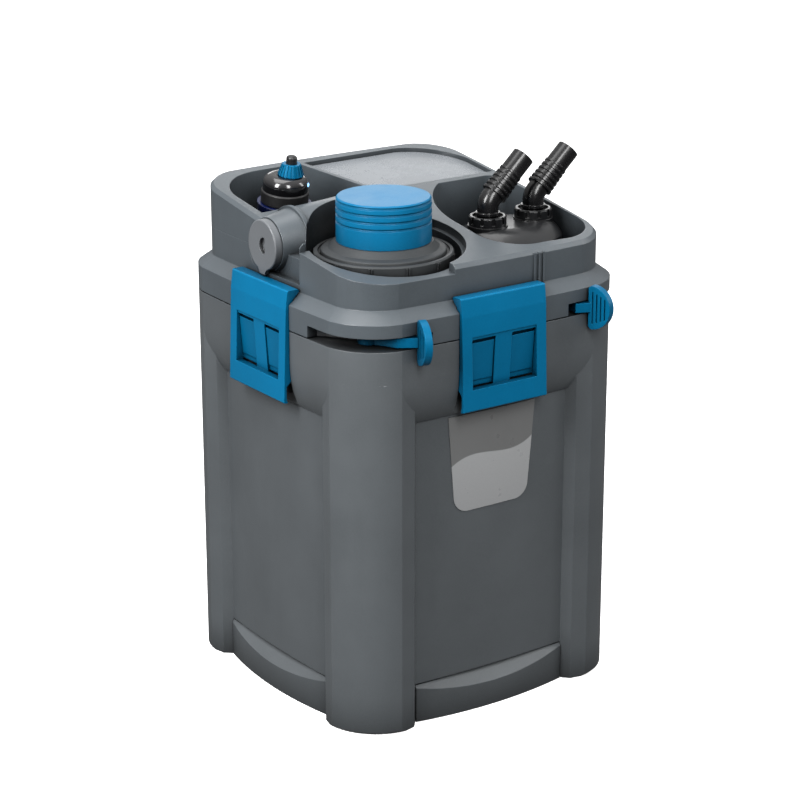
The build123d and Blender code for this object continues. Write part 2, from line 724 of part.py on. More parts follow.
with BuildPart() as heater_dome:
    with BuildSketch(heater_plane(7.5)):
        Circle(DOME_R)
    extrude(amount=DOME_H)
    fillet(heater_dome.edges().sort_by(heater_axis)[-1], DOME_EDGE_R)
finish(heater_dome, "heater_dome")

SPLINES = 20


def knob_point(out, spline):
    """Where one spline of the knob lies, in the plane turned to that spline."""
    turn = radians(spline * 360 / SPLINES)
    x, y = KNOB_SHIFT
    return (out + x * cos(turn) + y * sin(turn), y * cos(turn) - x * sin(turn))


with BuildPart() as thermostat_ring:
    with BuildSketch(heater_plane(18.5)):
        with Locations(KNOB_SHIFT):
            Circle(8.6)
    with BuildSketch(heater_plane(26.5)):
        with Locations(KNOB_SHIFT):
            Circle(5.9)
    loft()
    for spline in range(SPLINES):
        with BuildSketch(heater_plane(18.5, spline * 360 / SPLINES)):
            with Locations(knob_point(8.75, spline)):
                Rectangle(0.9, 0.7)
        with BuildSketch(heater_plane(26.5, spline * 360 / SPLINES)):
            with Locations(knob_point(6.05, spline)):
                Rectangle(0.9, 0.5)
        loft()
    with BuildSketch(heater_plane(18)):
        with Locations(KNOB_SHIFT):
            Circle(3.9)
    extrude(amount=12, mode=Mode.SUBTRACT)
finish(thermostat_ring, "thermostat_ring")

with BuildPart() as heater_tip:
    with BuildSketch(heater_plane(7.5 + DOME_H)):
        with Locations(KNOB_SHIFT):
            Circle(TIP_R)
    extrude(amount=TIP_H)
    fillet(heater_tip.edges().sort_by(heater_axis)[-1], 2.4)
finish(heater_tip, "heater_tip")

# ---------------------------------------------------------------- prefilter
CAP_R = 31.6
CAP_FOOT_Z = 323.2
CAP_TOP_Z = 352.5
GROOVE_Z = (350.6, 346.0, 341.2, 336.4)
CAGE_R = 40.5
CAGE_FOOT_Z = 26.0
RING_R = 46.4
SIGHT_SLOT_R = 42.5
RIB_COUNT = 12
prefilter_axis = Axis((*PREFILTER_AT, 0), (0, 0, 1))
prefilter_section = Plane(origin=(*PREFILTER_AT, 0), x_dir=(1, 0, 0), z_dir=(0, -1, 0))

with BuildPart() as prefilter_cap:
    with BuildSketch(prefilter_section):
        with BuildLine():
            Polyline(
                (0, CAP_TOP_Z),
                (CAP_R - 1.2, CAP_TOP_Z),
                (CAP_R, CAP_TOP_Z - 1.2),
                (CAP_R, CAP_FOOT_Z),
                (CAP_R - 2.6, CAP_FOOT_Z),
                (CAP_R - 2.6, CAP_TOP_Z - 3),
                (0, CAP_TOP_Z - 3),
                (0, CAP_TOP_Z),
            )
        make_face()
        with Locations(*((CAP_R, groove_z) for groove_z in GROOVE_Z)):
            Circle(0.9, mode=Mode.SUBTRACT)
    revolve(axis=prefilter_axis)
finish(prefilter_cap, "prefilter_cap")

with BuildPart() as prefilter_lock_ring:
    with BuildSketch(prefilter_section):
        Polygon(
            (14, 304),
            (46.4, 304),
            (46.4, 315.4),
            (45.6, 316.3),
            (43.6, 316.3),
            (43.2, 315.2),
            (41.8, 315.2),
            (41.4, 317.3),
            (40.6, 317.8),
            (36.8, 318.8),
            (32.8, 323.0),
            (31.4, 323.2),
            (14, 323.2),
            align=None,
        )
    revolve(axis=prefilter_axis)
    with BuildSketch(Plane.XY.offset(304)):
        with Locations(PREFILTER_AT):
            for pair_side in (-1, 1):
                with PolarLocations(RING_R, RIB_COUNT, start_angle=15 + pair_side * 1.1):
                    Rectangle(1.6, 0.8)
    extrude(amount=11)
    # Two sight slots show which way the closure is turned.
    with BuildSketch(Plane.XY.offset(312)):
        with Locations(PREFILTER_AT):
            for slot_heading in (157, -58):
                with PolarLocations(SIGHT_SLOT_R, 1, start_angle=slot_heading):
                    Rectangle(1.6, 9)
    extrude(amount=10, mode=Mode.SUBTRACT)
finish(prefilter_lock_ring, "prefilter_lock_ring")

with BuildPart() as prefilter_cage:
    with BuildSketch(Plane.XY.offset(CAGE_FOOT_Z)):
        with Locations(PREFILTER_AT):
            Circle(CAGE_R)
    extrude(amount=303.6 - CAGE_FOOT_Z)
    with BuildSketch(Plane.XY.offset(CAGE_FOOT_Z + 3)):
        with Locations(PREFILTER_AT):
            Circle(CAGE_R - 2.2)
    extrude(amount=300, mode=Mode.SUBTRACT)
    for tier in range(3):
        with BuildSketch(Plane.XY.offset(CAGE_FOOT_Z + 12 + tier * 84)):
            with Locations(PREFILTER_AT):
                with PolarLocations(CAGE_R, RIB_COUNT):
                    Rectangle(8, 16)
        extrude(amount=76, mode=Mode.SUBTRACT)
finish(prefilter_cage, "prefilter_cage")

with BuildPart() as prefilter_core_tube:
    with BuildSketch(Plane.XY.offset(CAGE_FOOT_Z + 3.2)):
        with Locations(PREFILTER_AT):
            Circle(8)
            Circle(6.4, mode=Mode.SUBTRACT)
    extrude(amount=270)
finish(prefilter_core_tube, "prefilter_core_tube")

with BuildPart() as prefilter_sponge:
    with BuildSketch(Plane.XY.offset(CAGE_FOOT_Z + 3.6)):
        with Locations(PREFILTER_AT):
            Circle(CAGE_R - 3.2)
            Circle(8.8, mode=Mode.SUBTRACT)
    extrude(amount=262)
finish(prefilter_sponge, "prefilter_sponge")

# ---------------------------------------------------------------- hose adapter
DOME_MIDDLE = (sum(PORTS_X.values()) / 2, PORTS_Y)
COLLAR_FOOT_Z = 318.5
COLLAR_TOP_Z = 325.0
COLLAR_R = 12.9
NECK_R = 7.3
NECK_FOOT_Z = 312.0
BEND_Z = 334.0
BEND_R = 8.5
ELBOW_HEADING_DEG = -2.0
ELBOW_LEAN_DEG = 46.0
ELBOW_LENGTH = 40.5
SPIGOT_R = 7.8
SPIGOT_BORE_R = 5.6
COLLAR_NOTCHES = 10
ELBOW_RIBS = 6
RIB_PITCH = 3.5
FIRST_RIB_AT = 6.8

with BuildPart() as hose_adapter:
    with BuildSketch(Plane.XY.offset(HOSE_WELL_FLOOR_Z)):
        with Locations(DOME_MIDDLE):
            Ellipse(36, 34)
    extrude(amount=9.5)
    for level, half_length, half_width in ((309.5, 36, 34), (314.5, 33, 27), (317.5, 26, 17)):
        with BuildSketch(Plane.XY.offset(level)):
            with Locations(DOME_MIDDLE):
                Ellipse(half_length, half_width)
    loft()
    for port_x in PORTS_X.values():
        with BuildSketch(Plane.XY.offset(309)):
            with Locations((port_x, PORTS_Y)):
                Circle(COLLAR_R + 0.8)
        extrude(amount=COLLAR_FOOT_Z - 309)
        with BuildSketch(Plane.XY.offset(286)):
            with Locations((port_x, PORTS_Y)):
                Circle(9.3)
        extrude(amount=16)
        with BuildSketch(Plane.XY.offset(NECK_FOOT_Z)):
            with Locations((port_x, PORTS_Y)):
                Circle(NECK_R + RUNNING_GAP)
        extrude(amount=10, mode=Mode.SUBTRACT)
        with BuildSketch(Plane.XY.offset(280)):
            with Locations((port_x, PORTS_Y)):
                Circle(SPIGOT_BORE_R)
        extrude(amount=40, mode=Mode.SUBTRACT)
finish(hose_adapter, "hose_adapter")


def elbow_plane(port_x, along):
    """Plane square to the leaning part of an elbow, a distance along it from the bend."""
    heading, lean = radians(ELBOW_HEADING_DEG), radians(ELBOW_LEAN_DEG)
    direction = Vector(sin(lean) * cos(heading), sin(lean) * sin(heading), cos(lean))
    bend = Vector(port_x, PORTS_Y, BEND_Z)
    return Plane(origin=bend + direction * along, z_dir=direction)


for port, port_x in PORTS_X.items():
    with BuildPart() as hose_collar:
        with BuildSketch(Plane.XY.offset(COLLAR_FOOT_Z)):
            with Locations((port_x, PORTS_Y)):
                Circle(COLLAR_R)
        extrude(amount=COLLAR_TOP_Z - COLLAR_FOOT_Z)
        chamfer(hose_collar.edges().sort_by(Axis.Z)[-1], 0.8)
        # The top is dished inside a rim, and the rim and side are notched.
        with BuildSketch(Plane.XY.offset(COLLAR_TOP_Z - 2)):
            with Locations((port_x, PORTS_Y)):
                Circle(COLLAR_R - 2.4)
        extrude(amount=4, mode=Mode.SUBTRACT)
        with BuildSketch(Plane.XY.offset(COLLAR_FOOT_Z + 1.5)):
            with Locations((port_x, PORTS_Y)):
                with PolarLocations(COLLAR_R + 0.4, COLLAR_NOTCHES):
                    Rectangle(3.0, 2.4)
        extrude(amount=COLLAR_TOP_Z - COLLAR_FOOT_Z, mode=Mode.SUBTRACT)
        with BuildSketch(Plane.XY.offset(COLLAR_FOOT_Z)):
            with Locations((port_x, PORTS_Y)):
                Circle(NECK_R + RUNNING_GAP)
        extrude(amount=10, mode=Mode.SUBTRACT)
    finish(hose_collar, f"hose_collar_{port}")

    with BuildPart() as elbow:
        bend_start = (port_x, PORTS_Y, BEND_Z)
        far_end = elbow_plane(port_x, ELBOW_LENGTH).origin
        with BuildLine() as route:
            FilletPolyline((port_x, PORTS_Y, NECK_FOOT_Z + 0.2), bend_start, far_end, radius=BEND_R)
        with BuildSketch(Plane.XY.offset(NECK_FOOT_Z + 0.2)):
            with Locations((port_x, PORTS_Y)):
                Circle(NECK_R)
        sweep()
        # A ring above the collar, ribs along the sleeve, then the bare spigot.
        with BuildSketch(Plane.XY.offset(COLLAR_TOP_Z + 0.3)):
            with Locations((port_x, PORTS_Y)):
                Circle(NECK_R + 1.1)
        extrude(amount=2.0)
        for rib in range(ELBOW_RIBS):
            with BuildSketch(elbow_plane(port_x, FIRST_RIB_AT + rib * RIB_PITCH)):
                Circle(9.2 - 0.18 * rib)
            extrude(amount=1.7)
        with BuildSketch(elbow_plane(port_x, FIRST_RIB_AT)):
            Circle(SPIGOT_R)
        extrude(amount=ELBOW_LENGTH - FIRST_RIB_AT)
        with BuildLine() as bore_route:
            FilletPolyline((port_x, PORTS_Y, NECK_FOOT_Z + 0.2), bend_start, far_end, radius=BEND_R)
        with BuildSketch(Plane.XY.offset(NECK_FOOT_Z + 0.2)):
            with Locations((port_x, PORTS_Y)):
                Circle(SPIGOT_BORE_R)
        sweep(mode=Mode.SUBTRACT)
    finish(elbow, f"hose_elbow_{port}")

# ---------------------------------------------------------------- clips
WINDOW_HALF = 26.4
WINDOW_FOOT_Z, WINDOW_TOP_Z = 233.6, 269.0
BAR_HALF = 6.8
CLIP_INNER_OUT = 105.9
CLIP_TOP_OUT, CLIP_FOOT_OUT = 114.9, 118.7
CLIP_TOP_Z, CLIP_FOOT_Z = 295.5, 219.0

with BuildPart() as clip_pins:
    for turns in SIDES.values():
        with BuildSketch(section_plane(turns)):
            with Locations((HINGE_OUT, HINGE_Z)):
                Circle(PIN_R)
        extrude(amount=EAR_OUTER, both=True)
finish(clip_pins, "clip_pins")

for side_name, turns in SIDES.items():
    with BuildPart() as clip_plate:
        with BuildSketch(section_plane(turns)):
            Polygon(
                (CLIP_INNER_OUT, 293.6),
                (CLIP_INNER_OUT, CLIP_TOP_Z - 0.8),
                (CLIP_INNER_OUT + 0.8, CLIP_TOP_Z),
                (CLIP_TOP_OUT - 0.6, CLIP_TOP_Z),
                (CLIP_TOP_OUT, CLIP_TOP_Z - 0.8),
                (116.4, 283.0),
                (CLIP_FOOT_OUT, CLIP_FOOT_Z + 0.6),
                (CLIP_FOOT_OUT - 0.6, CLIP_FOOT_Z),
                (115.8, CLIP_FOOT_Z),
                (116.6, HINGE_Z - EAR_R - 0.8),
                (116.6, HINGE_Z + EAR_R + 1.2),
                (110.6, 236.0),
                (110.6, 289.3),
                align=None,
            )
        extrude(amount=CLIP_HALF, both=True)
        # Knuckle between the ears.
        with BuildSketch(section_plane(turns)):
            with Locations((HINGE_OUT, HINGE_Z)):
                Circle(2.9)
            with Locations((HINGE_OUT + 2, HINGE_Z)):
                Rectangle(4, 5.0)
        extrude(amount=EAR_INNER - 0.6, both=True)
        with BuildSketch(section_plane(turns)):
            with Locations((HINGE_OUT, HINGE_Z)):
                Circle(PIN_R + RUNNING_GAP)
        extrude(amount=EAR_OUTER + 1, both=True, mode=Mode.SUBTRACT)
        # Window with a floor that lies deeper towards the foot, split by a centre bar.
        with BuildSketch(section_plane(turns)):
            outer_top, inner_top = (120, WINDOW_TOP_Z), (116.2, WINDOW_TOP_Z)
            inner_foot, outer_foot = (113.8, WINDOW_FOOT_Z), (120, WINDOW_FOOT_Z)
            Polygon(outer_top, inner_top, inner_foot, outer_foot, align=None)
        extrude(amount=WINDOW_HALF, both=True, mode=Mode.SUBTRACT)
        cell_middle = (WINDOW_HALF + BAR_HALF) / 2
        for cell_side in (-1, 1):
            with BuildSketch(section_plane(turns).offset(-cell_side * cell_middle)):
                pane_top = WINDOW_TOP_Z - 2
                pane_foot = WINDOW_FOOT_Z
                Polygon((120, pane_top), (112.2, pane_top), (112.2, pane_foot), (120, pane_foot), align=None)
            extrude(amount=(WINDOW_HALF - BAR_HALF) / 2, both=True, mode=Mode.SUBTRACT)
    finish(clip_plate, f"clip_plate_{side_name}")

    with BuildPart() as clip_link:
        for cell_side in (-1, 1):
            with BuildSketch(section_plane(turns).offset(-cell_side * cell_middle)):
                Polygon((112.2, 264.5), (115.2, 264.5), (113.2, 238.5), (112.2, 238.5), align=None)
            extrude(amount=(WINDOW_HALF - BAR_HALF) / 2 - 0.6, both=True)
    finish(clip_link, f"clip_link_{side_name}")

# ---------------------------------------------------------------- release levers
LEVER_Z = 273.0
LEVER_H = 6.4
PADDLE_REACH = 17.0
PADDLE_H = 30.0
PADDLE_THICK = 5.0
GRIP_DEPTH = 0.8
LEVER_ROUTES = {
    "left": (((-88, -88), (-78, -107), (-66.5, -114.3)), (-68.0, -122.7), -107.0),
    "right": (((88, -88), (66, -105), (65.5, -111), (74, -114.6)), (76.0, -122.7), -73.0),
}

with BuildPart() as lever_pins:
    for side in (-1, 1):
        with BuildSketch(Plane.XY.offset(HEAD_Z + 0.4)):
            with Locations((side * LEVER_HUB[0], -LEVER_HUB[1])):
                Circle(PIN_R)
        extrude(amount=13)
finish(lever_pins, "lever_pins")

for side_name, (arm_points, paddle_at, heading_deg) in LEVER_ROUTES.items():
    with BuildPart() as lever:
        with BuildSketch(Plane.XY.offset(LEVER_Z - LEVER_H / 2)):
            with BuildLine() as arm:
                Polyline(*arm_points)
            trace(arm.edges(), 6.5)
            with Locations(arm_points[0]):
                Circle(LEVER_HUB_R)
                Circle(PIN_R + RUNNING_GAP, mode=Mode.SUBTRACT)
        extrude(amount=LEVER_H)
        heading = radians(heading_deg)
        reach = (cos(heading), sin(heading), 0)
        flat = (-sin(heading), cos(heading), 0)
        root = (
            paddle_at[0] - reach[0] * PADDLE_REACH / 2,
            paddle_at[1] - reach[1] * PADDLE_REACH / 2,
            LEVER_Z,
        )
        # The paddle is D-shaped: straight at its root and round at its tip.
        with BuildSketch(Plane(origin=root, x_dir=reach, z_dir=flat)):
            with BuildLine():
                half = PADDLE_H / 2
                Line((2, half), (0, half - 1.5))
                Line((0, half - 1.5), (0, 1.5 - half))
                Line((0, 1.5 - half), (2, -half))
                ThreePointArc((2, -half), (PADDLE_REACH, 0), (2, half))
            make_face()
        extrude(amount=PADDLE_THICK / 2, both=True)
        # Finger grooves on both faces.
        for face_side in (-1, 1):
            for groove in range(4):
                paddle_middle = Plane(origin=root, x_dir=reach, z_dir=flat)
                groove_root = paddle_middle.offset(face_side * PADDLE_THICK / 2)
                with BuildSketch(groove_root):
                    with Locations((3.4 + groove * 3.2, 0)):
                        Rectangle(1.1, 22 - 2.5 * groove)
                extrude(amount=GRIP_DEPTH, both=True, mode=Mode.SUBTRACT)
    finish(lever, f"release_lever_{side_name}")

# ---------------------------------------------------------------- label, glands, screws
LABEL_OUTLINE = ((-37.0, 213), (34.4, 213), (28.2, 145.2), (-31.4, 145.2))
LABEL_CORNER_R = 11.0
LABEL_THICK = 0.5
PANEL_BOW_DEPTH = 16


def bowed_block(proud):
    """Outline of a block behind the bowed front panel, its face proud by the given amount."""
    side_x, side_y = PANEL_END[0], -PANEL_END[1] - proud
    inner_y = side_y + PANEL_BOW_DEPTH
    ThreePointArc((-side_x, side_y), (0, -PANEL_MIDDLE - proud), (side_x, side_y))
    Polyline((side_x, side_y), (side_x, inner_y), (-side_x, inner_y), (-side_x, side_y))


with BuildPart() as front_label:
    with BuildSketch(face_plane(0, 100)):
        Polygon(*LABEL_OUTLINE, align=None)
    extrude(amount=10)
    fillet(front_label.edges().filter_by(Axis.Y).group_by(Axis.Z)[0], LABEL_CORNER_R)
    with BuildSketch(Plane.XY.offset(140)):
        with BuildLine():
            bowed_block(LABEL_THICK)
        make_face()
    extrude(amount=90, mode=Mode.INTERSECT)
    with BuildSketch(Plane.XY.offset(140)):
        with BuildLine():
            bowed_block(0.0)
        make_face()
    extrude(amount=90, mode=Mode.SUBTRACT)
finish(front_label, "front_label")

with BuildPart() as cable_glands:
    for gland_x in (38, 60):
        with BuildSketch(Plane(origin=(gland_x, 101, 304), x_dir=(1, 0, 0), z_dir=(0, 1, 0))):
            RegularPolygon(6.5, 6)
            Circle(3.2, mode=Mode.SUBTRACT)
        extrude(amount=8)
finish(cable_glands, "cable_glands")

with BuildPart() as cover_screws:
    with BuildSketch(Plane.XY.offset(DECK_Z - SCREW_HEAD_H)):
        with Locations(*SCREWS_AT):
            Circle(SCREW_HEAD_R)
    extrude(amount=SCREW_HEAD_H)
    with BuildSketch(Plane.XY.offset(DECK_Z)):
        with Locations(*SCREWS_AT):
            Circle(SCREW_R)
    extrude(amount=SCREW_LENGTH)
finish(cover_screws, "cover_screws")
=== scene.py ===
"""Looks of the canister water filter: materials, foam pieces, marks, floor, light and camera."""

import json
import math

import bmesh
import bpy
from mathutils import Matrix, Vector, noise


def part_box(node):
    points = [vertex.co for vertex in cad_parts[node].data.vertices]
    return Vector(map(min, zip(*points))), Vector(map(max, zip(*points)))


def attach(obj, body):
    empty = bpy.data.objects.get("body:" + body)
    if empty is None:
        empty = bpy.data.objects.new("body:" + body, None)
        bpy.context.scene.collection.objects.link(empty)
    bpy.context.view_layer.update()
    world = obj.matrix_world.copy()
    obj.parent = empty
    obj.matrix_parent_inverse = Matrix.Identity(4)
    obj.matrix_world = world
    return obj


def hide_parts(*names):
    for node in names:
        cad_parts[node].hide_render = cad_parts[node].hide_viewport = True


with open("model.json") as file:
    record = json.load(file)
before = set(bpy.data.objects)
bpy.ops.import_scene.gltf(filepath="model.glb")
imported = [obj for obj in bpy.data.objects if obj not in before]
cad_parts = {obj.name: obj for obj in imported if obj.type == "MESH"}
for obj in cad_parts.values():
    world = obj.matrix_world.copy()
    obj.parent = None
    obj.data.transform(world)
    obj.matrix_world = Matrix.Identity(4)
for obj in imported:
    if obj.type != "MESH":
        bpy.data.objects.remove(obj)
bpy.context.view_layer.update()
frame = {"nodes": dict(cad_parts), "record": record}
nodes = frame["nodes"]

# ---------------------------------------------------------------- sizes, in metres
CAMERA_AZIMUTH_DEG = -35.06
CAMERA_PITCH_DEG = 18.64
CAMERA_TARGET = Vector((0.0009, -0.0023, 0.1864))
CAMERA_DISTANCE = 1.71
CAMERA_LENS = 108.7
CAMERA_SENSOR = 36.0
CAMERA_CLIP_END = 1000.0
FLOOR_HALF = 400.0

# ---------------------------------------------------------------- node materials
COAT_ROUGHNESS = 0.12
# A noise node's values lie mostly inside these spans.
WIDE_SPAN = (0.3, 0.7)
FINE_SPAN = (0.35, 0.65)

BEVEL_SAMPLES = 6
FLAT_DOT = 0.995
SHARP_DOT = 0.82

OPENNESS_SAMPLES = 8
CLOSED_SHARE = 0.30
OPEN_SHARE = 0.85


class Material:
    """A node material round one Principled shader, with short calls for the nodes it needs."""

    def __init__(self, name, roughness, metallic=0.0, coat=0.0, specular=0.5):
        self.material = bpy.data.materials.new(name)
        self.material.use_nodes = True
        self.tree = self.material.node_tree
        self.tree.nodes.clear()
        self.output = self.tree.nodes.new("ShaderNodeOutputMaterial")
        self.shader = self.tree.nodes.new("ShaderNodeBsdfPrincipled")
        self.link(self.shader.outputs["BSDF"], self.output.inputs["Surface"])
        self.shader.inputs["Roughness"].default_value = roughness
        self.shader.inputs["Metallic"].default_value = metallic
        self.shader.inputs["Coat Weight"].default_value = coat
        self.shader.inputs["Coat Roughness"].default_value = COAT_ROUGHNESS
        self.shader.inputs["Specular IOR Level"].default_value = specular
        self.place = self.tree.nodes.new("ShaderNodeTexCoord").outputs["Object"]
        self.normal = None

    def link(self, source, target):
        self.tree.links.new(source, target)

    def stretched(self, scale):
        """Object coordinates stretched by scale on each axis."""
        mapping = self.tree.nodes.new("ShaderNodeMapping")
        mapping.inputs["Scale"].default_value = scale
        self.link(self.place, mapping.inputs["Vector"])
        return mapping.outputs["Vector"]

    def noise(self, size, detail=3.0, rough=0.5, stretch=None):
        """Noise whose features are about size metres across."""
        node = self.tree.nodes.new("ShaderNodeTexNoise")
        node.inputs["Scale"].default_value = 1.0 / size
        node.inputs["Detail"].default_value = detail
        node.inputs["Roughness"].default_value = rough
        self.link(self.stretched(stretch) if stretch else self.place, node.inputs["Vector"])
        return node.outputs["Fac"]

    def cells(self, size):
        """Distance to the nearest point of a scatter about size metres apart."""
        node = self.tree.nodes.new("ShaderNodeTexVoronoi")
        node.inputs["Scale"].default_value = 1.0 / size
        self.link(self.place, node.inputs["Vector"])
        return node.outputs["Distance"]

    def ranged(self, value, low, high, out_low=0.0, out_high=1.0):
        """value from low..high spread over out_low..out_high."""
        node = self.tree.nodes.new("ShaderNodeMapRange")
        node.inputs["From Min"].default_value = low
        node.inputs["From Max"].default_value = high
        node.inputs["To Min"].default_value = out_low
        node.inputs["To Max"].default_value = out_high
        self.link(value, node.inputs["Value"])
        return node.outputs["Result"]

    def axis(self, name):
        """One object coordinate, in metres."""
        node = self.tree.nodes.new("ShaderNodeSeparateXYZ")
        self.link(self.place, node.inputs["Vector"])
        return node.outputs[name]

    def maths(self, operation, *values):
        """A Math node on values or sockets."""
        node = self.tree.nodes.new("ShaderNodeMath")
        node.operation = operation
        for socket, value in zip(node.inputs, values):
            if isinstance(value, (int, float)):
                socket.default_value = value
            else:
                self.link(value, socket)
        return node.outputs["Value"]

    def mixed(self, factor, first, second):
        """Colour mix of two colours or sockets."""
        node = self.tree.nodes.new("ShaderNodeMix")
        node.data_type = "RGBA"
        self.link(factor, node.inputs["Factor"])
        for socket, value in ((node.inputs["A"], first), (node.inputs["B"], second)):
            if isinstance(value, (tuple, list)):
                socket.default_value = (*value[:3], 1.0)
            else:
                self.link(value, socket)
        return node.outputs["Result"]

    def edges(self, radius):
        """About 1 on edges and corners within radius, 0 on open faces. Also rounds the shading there."""
        bevel = self.tree.nodes.new("ShaderNodeBevel")
        bevel.samples = BEVEL_SAMPLES
        bevel.inputs["Radius"].default_value = radius
        self.normal = bevel.outputs["Normal"]
        geometry = self.tree.nodes.new("ShaderNodeNewGeometry")
        dot = self.tree.nodes.new("ShaderNodeVectorMath")
        dot.operation = "DOT_PRODUCT"
        self.link(bevel.outputs["Normal"], dot.inputs[0])
        self.link(geometry.outputs["Normal"], dot.inputs[1])
        return self.ranged(dot.outputs["Value"], FLAT_DOT, SHARP_DOT)

    def openness(self, reach):
        """About 1 in the open, falling to 0 deep in a well or joint narrower than reach."""
        node = self.tree.nodes.new("ShaderNodeAmbientOcclusion")
        node.samples = OPENNESS_SAMPLES
        node.inputs["Distance"].default_value = reach
        return self.ranged(node.outputs["AO"], CLOSED_SHARE, OPEN_SHARE)

    def bump(self, height, distance):
        """Adds a bump layer over the ones already made."""
        node = self.tree.nodes.new("ShaderNodeBump")
        node.inputs["Distance"].default_value = distance
        node.inputs["Strength"].default_value = 1.0
        self.link(height, node.inputs["Height"])
        if self.normal is not None:
            self.link(self.normal, node.inputs["Normal"])
        self.normal = node.outputs["Normal"]

    def colour(self, socket):
        self.link(socket, self.shader.inputs["Base Color"])

    def roughness(self, socket):
        self.link(socket, self.shader.inputs["Roughness"])

    def done(self):
        if self.normal is not None:
            self.link(self.normal, self.shader.inputs["Normal"])
        return self.material


def lighter(colour, factor):
    return tuple(min(1.0, c * factor) for c in colour[:3])


CLOUD_SIZE = 0.07
SPECK_SIZE = 0.0011
SPECK_SHARE = 0.22
SPECK_LIFT = 1.25
SPECK_ROUGHNESS = 0.02
# Paler edges: partly real wear, partly a painted highlight.
WEAR_AND_HIGHLIGHT_PATCH_SIZE = 0.006
WEAR_AND_HIGHLIGHT_SHARE = 0.6
WEAR_POLISH = 0.06
# Reach of the AO node behind the painted shade in wells and joints.
PAINTED_SHADE_REACH = 0.04
STREAK_SIZE = 0.012
STREAK_STRETCH = (1.0, 1.0, 0.12)
SMUDGE_SIZE = 0.035
RIPPLE_SIZE = 0.03
RIPPLE_DEPTH = 0.0001


def plastic(name, colour, roughness, grain=0.00045, grain_depth=0.00003, mottle=0.10, wear_and_highlight=1.35,
            edge=0.0007, coat=0.0, specular=0.5, tint=None, scuffs=0.06, painted_shade=0.85):
    """Moulded plastic: spark-textured skin, faint clouding, paler edges that are partly wear and partly a
    painted highlight, painted shade in wells and joints, and light handling scuffs.
    """
    m = Material(name, roughness, coat=coat, specular=specular)
    if tint:
        m.shader.inputs["Specular Tint"].default_value = (*tint, 1.0)
    edge_mask = m.edges(edge)
    clouds = m.ranged(m.noise(CLOUD_SIZE, detail=4.0, rough=0.6), *WIDE_SPAN)
    specks = m.ranged(m.noise(SPECK_SIZE, detail=2.0), *FINE_SPAN)
    base = m.mixed(clouds, lighter(colour, 1 - mottle), lighter(colour, 1 + mottle))
    base = m.mixed(m.maths("MULTIPLY", specks, SPECK_SHARE), base, lighter(colour, SPECK_LIFT))
    # Paler edges in patches: partly real wear, partly a painted highlight along edges and rims.
    patchy = m.maths("MULTIPLY", edge_mask, m.ranged(m.noise(WEAR_AND_HIGHLIGHT_PATCH_SIZE, detail=3.0), 0.35, 0.7, 0.35, 1.0))
    base = m.mixed(m.maths("MULTIPLY", patchy, WEAR_AND_HIGHLIGHT_SHARE), base, lighter(colour, wear_and_highlight))
    # Painted shade: the colour darkens in wells, joints and recesses that the AO node finds closed in.
    base = m.mixed(m.openness(PAINTED_SHADE_REACH), lighter(colour, 1 - painted_shade), base)
    m.colour(base)
    streaks = m.ranged(m.noise(STREAK_SIZE, detail=5.0, rough=0.7, stretch=STREAK_STRETCH), 0.45, 0.75)
    smudges = m.ranged(m.noise(SMUDGE_SIZE, detail=3.0), *WIDE_SPAN, -0.03, 0.04)
    rough = m.maths("ADD", m.maths("MULTIPLY", streaks, scuffs), smudges)
    smooth_end, coarse_end = roughness - SPECK_ROUGHNESS, roughness + SPECK_ROUGHNESS
    rough = m.maths("ADD", rough, m.ranged(specks, 0.0, 1.0, smooth_end, coarse_end))
    m.roughness(m.maths("SUBTRACT", rough, m.maths("MULTIPLY", edge_mask, WEAR_POLISH)))
    m.bump(m.noise(grain, detail=2.0, rough=0.6), grain_depth)
    m.bump(m.noise(RIPPLE_SIZE, detail=2.0), RIPPLE_DEPTH)
    return m.done()


GREY = (0.074, 0.082, 0.088)
GREY_HEAD = (0.062, 0.073, 0.082)
BLUE = (0.001, 0.112, 0.235)
BLACK = (0.006, 0.006, 0.007)
BLUE_SHEEN = {"specular": 0.35, "tint": (0.2, 0.6, 0.9)}
GLOSSY_GRAIN = 0.000008
POLISHED_GRAIN = 0.000006
GLOSSY_BLACK = {"grain_depth": GLOSSY_GRAIN, "wear_and_highlight": 1.2, "specular": 0.4}

